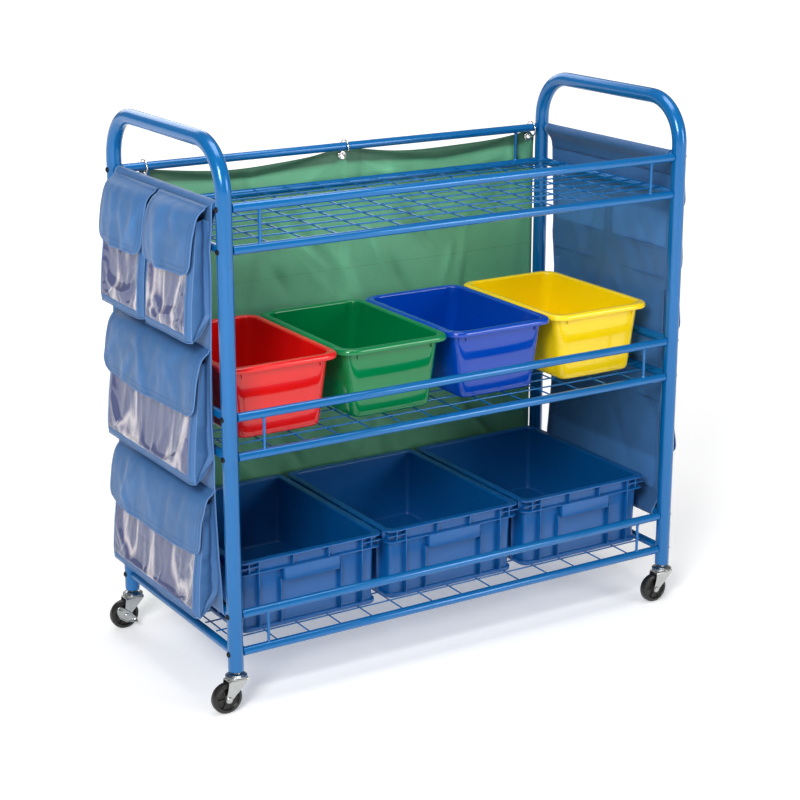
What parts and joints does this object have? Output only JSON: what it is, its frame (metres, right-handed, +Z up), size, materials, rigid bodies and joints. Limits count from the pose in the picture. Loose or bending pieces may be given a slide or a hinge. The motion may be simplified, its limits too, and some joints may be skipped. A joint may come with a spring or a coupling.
{
  "type": "book cart",
  "caption": "Rolling wire-shelf book cart: bent-tube end frames, lift-out trays and totes, a hanging fabric back panel and flapped end organizers on swivel casters.",
  "frame": {"origin": "on the floor, under the middle of the cart", "axes": "+X along the cart towards its right end, +Y towards the fabric back panel, +Z up"},
  "size_m": [1.0826, 0.4797, 1.02],
  "materials": {
    "frame_blue_paint": "glossy powder coat",
    "caster_zinc": "bright zinc plate",
    "wheel_black": "satin moulded plastic",
    "tray_red_plastic": "glossy moulded plastic",
    "tray_green_plastic": "glossy moulded plastic",
    "tray_blue_plastic": "glossy moulded plastic",
    "tray_yellow_plastic": "glossy moulded plastic",
    "tote_blue_plastic": "satin moulded plastic",
    "panel_green_fabric": "plain-weave polyester",
    "organizer_blue_fabric": "plain-weave polyester",
    "clear_vinyl": "clear flexible vinyl",
    "ring_nickel": "polished nickel plate"
  },
  "bodies": {
    "frame": {"end_frame_left": "frame_blue_paint", "end_frame_right": "frame_blue_paint", "top_shelf_deck": "frame_blue_paint", "top_shelf_front_guard": "frame_blue_paint", "top_shelf_rear_guard": "frame_blue_paint", "middle_shelf_deck": "frame_blue_paint", "middle_shelf_front_guard": "frame_blue_paint", "middle_shelf_rear_guard": "frame_blue_paint", "bottom_shelf_deck": "frame_blue_paint", "bottom_shelf_front_guard": "frame_blue_paint", "bottom_shelf_rear_guard": "frame_blue_paint", "organizer_left_panel": "organizer_blue_fabric", "organizer_right_panel": "organizer_blue_fabric", "organizer_left_pocket_top_rear": "clear_vinyl", "organizer_left_pocket_top_front": "clear_vinyl", "organizer_left_pocket_middle": "clear_vinyl", "organizer_left_pocket_bottom": "clear_vinyl", "organizer_right_pocket_top_rear": "clear_vinyl", "organizer_right_pocket_top_front": "clear_vinyl", "organizer_right_pocket_middle": "clear_vinyl", "organizer_right_pocket_bottom": "clear_vinyl", "caster_front_left_stem": "caster_zinc", "caster_front_right_stem": "caster_zinc", "caster_rear_left_stem": "caster_zinc", "caster_rear_right_stem": "caster_zinc"},
    "caster_front_left_swivel_body": {"caster_front_left_fork": "caster_zinc", "caster_front_left_axle": "caster_zinc"},
    "caster_front_left_wheel_body": {"caster_front_left_wheel": "wheel_black"},
    "caster_front_right_swivel_body": {"caster_front_right_fork": "caster_zinc", "caster_front_right_axle": "caster_zinc"},
    "caster_front_right_wheel_body": {"caster_front_right_wheel": "wheel_black"},
    "caster_rear_left_swivel_body": {"caster_rear_left_fork": "caster_zinc", "caster_rear_left_axle": "caster_zinc"},
    "caster_rear_left_wheel_body": {"caster_rear_left_wheel": "wheel_black"},
    "caster_rear_right_swivel_body": {"caster_rear_right_fork": "caster_zinc", "caster_rear_right_axle": "caster_zinc"},
    "caster_rear_right_wheel_body": {"caster_rear_right_wheel": "wheel_black"},
    "caster_rear_left_brake_body": {"caster_rear_left_brake_lever": "caster_zinc"},
    "caster_rear_right_brake_body": {"caster_rear_right_brake_lever": "caster_zinc"},
    "tray_red_body": {"tray_red": "tray_red_plastic"},
    "tray_green_body": {"tray_green": "tray_green_plastic"},
    "tray_blue_body": {"tray_blue": "tray_blue_plastic"},
    "tray_yellow_body": {"tray_yellow": "tray_yellow_plastic"},
    "tote_left_body": {"tote_left": "tote_blue_plastic"},
    "tote_middle_body": {"tote_middle": "tote_blue_plastic"},
    "tote_right_body": {"tote_right": "tote_blue_plastic"},
    "back_panel_body": {"back_panel": "panel_green_fabric", "hanging_ring_left": "ring_nickel", "hanging_ring_middle": "ring_nickel", "hanging_ring_right": "ring_nickel"},
    "flap_left_top_rear_body": {"organizer_left_flap_top_rear": "organizer_blue_fabric"},
    "flap_left_top_front_body": {"organizer_left_flap_top_front": "organizer_blue_fabric"},
    "flap_left_middle_body": {"organizer_left_flap_middle": "organizer_blue_fabric"},
    "flap_left_bottom_body": {"organizer_left_flap_bottom": "organizer_blue_fabric"},
    "flap_right_top_rear_body": {"organizer_right_flap_top_rear": "organizer_blue_fabric"},
    "flap_right_top_front_body": {"organizer_right_flap_top_front": "organizer_blue_fabric"},
    "flap_right_middle_body": {"organizer_right_flap_middle": "organizer_blue_fabric"},
    "flap_right_bottom_body": {"organizer_right_flap_bottom": "organizer_blue_fabric"}
  },
  "joints": [
    {"name": "caster_front_left_swivel", "type": "hinge", "parent": "frame", "child": "caster_front_left_swivel_body", "pos_m": [-0.48, -0.22, 0.066], "axis": [0, 0, 1], "continuous": true},
    {"name": "caster_front_left_roll", "type": "hinge", "parent": "caster_front_left_swivel_body", "child": "caster_front_left_wheel_body", "pos_m": [-0.5, -0.22, 0.0285], "axis": [0, 1, 0], "continuous": true},
    {"name": "caster_front_right_swivel", "type": "hinge", "parent": "frame", "child": "caster_front_right_swivel_body", "pos_m": [0.48, -0.22, 0.066], "axis": [0, 0, 1], "continuous": true},
    {"name": "caster_front_right_roll", "type": "hinge", "parent": "caster_front_right_swivel_body", "child": "caster_front_right_wheel_body", "pos_m": [0.46, -0.22, 0.0285], "axis": [0, 1, 0], "continuous": true},
    {"name": "caster_rear_left_swivel", "type": "hinge", "parent": "frame", "child": "caster_rear_left_swivel_body", "pos_m": [-0.48, 0.22, 0.066], "axis": [0, 0, 1], "continuous": true},
    {"name": "caster_rear_left_roll", "type": "hinge", "parent": "caster_rear_left_swivel_body", "child": "caster_rear_left_wheel_body", "pos_m": [-0.5, 0.22, 0.0285], "axis": [0, 1, 0], "continuous": true},
    {"name": "caster_rear_right_swivel", "type": "hinge", "parent": "frame", "child": "caster_rear_right_swivel_body", "pos_m": [0.48, 0.22, 0.066], "axis": [0, 0, 1], "continuous": true},
    {"name": "caster_rear_right_roll", "type": "hinge", "parent": "caster_rear_right_swivel_body", "child": "caster_rear_right_wheel_body", "pos_m": [0.46, 0.22, 0.0285], "axis": [0, 1, 0], "continuous": true},
    {"name": "caster_rear_left_brake", "type": "hinge", "parent": "caster_rear_left_swivel_body", "child": "caster_rear_left_brake_body", "pos_m": [-0.5, 0.22, 0.0285], "axis": [0, -1, 0], "range_deg": [0, 22]},
    {"name": "caster_rear_right_brake", "type": "hinge", "parent": "caster_rear_right_swivel_body", "child": "caster_rear_right_brake_body", "pos_m": [0.46, 0.22, 0.0285], "axis": [0, -1, 0], "range_deg": [0, 22]},
    {"name": "tray_red_lift", "type": "slide", "parent": "frame", "child": "tray_red_body", "axis": [0, 0, 1], "range_m": [0, 0.1]},
    {"name": "tray_green_lift", "type": "slide", "parent": "frame", "child": "tray_green_body", "axis": [0, 0, 1], "range_m": [0, 0.1]},
    {"name": "tray_blue_lift", "type": "slide", "parent": "frame", "child": "tray_blue_body", "axis": [0, 0, 1], "range_m": [0, 0.1]},
    {"name": "tray_yellow_lift", "type": "slide", "parent": "frame", "child": "tray_yellow_body", "axis": [0, 0, 1], "range_m": [0, 0.1]},
    {"name": "tote_left_lift", "type": "slide", "parent": "frame", "child": "tote_left_body", "axis": [0, 0, 1], "range_m": [0, 0.1]},
    {"name": "tote_middle_lift", "type": "slide", "parent": "frame", "child": "tote_middle_body", "axis": [0, 0, 1], "range_m": [0, 0.1]},
    {"name": "tote_right_lift", "type": "slide", "parent": "frame", "child": "tote_right_body", "axis": [0, 0, 1], "range_m": [0, 0.1]},
    {"name": "back_panel_swing", "type": "hinge", "parent": "frame", "child": "back_panel_body", "pos_m": [0, 0.22, 0.9], "axis": [1, 0, 0], "range_deg": [0, 60]},
    {"name": "flap_left_top_rear", "type": "hinge", "parent": "frame", "child": "flap_left_top_rear_body", "pos_m": [-0.4913, 0.0955, 0.9], "axis": [0, 1, 0], "range_deg": [0, 105]},
    {"name": "flap_left_top_front", "type": "hinge", "parent": "frame", "child": "flap_left_top_front_body", "pos_m": [-0.4913, -0.0955, 0.9], "axis": [0, 1, 0], "range_deg": [0, 105]},
    {"name": "flap_left_middle", "type": "hinge", "parent": "frame", "child": "flap_left_middle_body", "pos_m": [-0.4913, 0, 0.655], "axis": [0, 1, 0], "range_deg": [0, 48]},
    {"name": "flap_left_bottom", "type": "hinge", "parent": "frame", "child": "flap_left_bottom_body", "pos_m": [-0.4913, 0, 0.403], "axis": [0, 1, 0], "range_deg": [0, 48]},
    {"name": "flap_right_top_rear", "type": "hinge", "parent": "frame", "child": "flap_right_top_rear_body", "pos_m": [0.4913, 0.0955, 0.9], "axis": [0, -1, 0], "range_deg": [0, 105]},
    {"name": "flap_right_top_front", "type": "hinge", "parent": "frame", "child": "flap_right_top_front_body", "pos_m": [0.4913, -0.0955, 0.9], "axis": [0, -1, 0], "range_deg": [0, 105]},
    {"name": "flap_right_middle", "type": "hinge", "parent": "frame", "child": "flap_right_middle_body", "pos_m": [0.4913, 0, 0.655], "axis": [0, -1, 0], "range_deg": [0, 48]},
    {"name": "flap_right_bottom", "type": "hinge", "parent": "frame", "child": "flap_right_bottom_body", "pos_m": [0.4913, 0, 0.403], "axis": [0, -1, 0], "range_deg": [0, 48]}
  ]
}
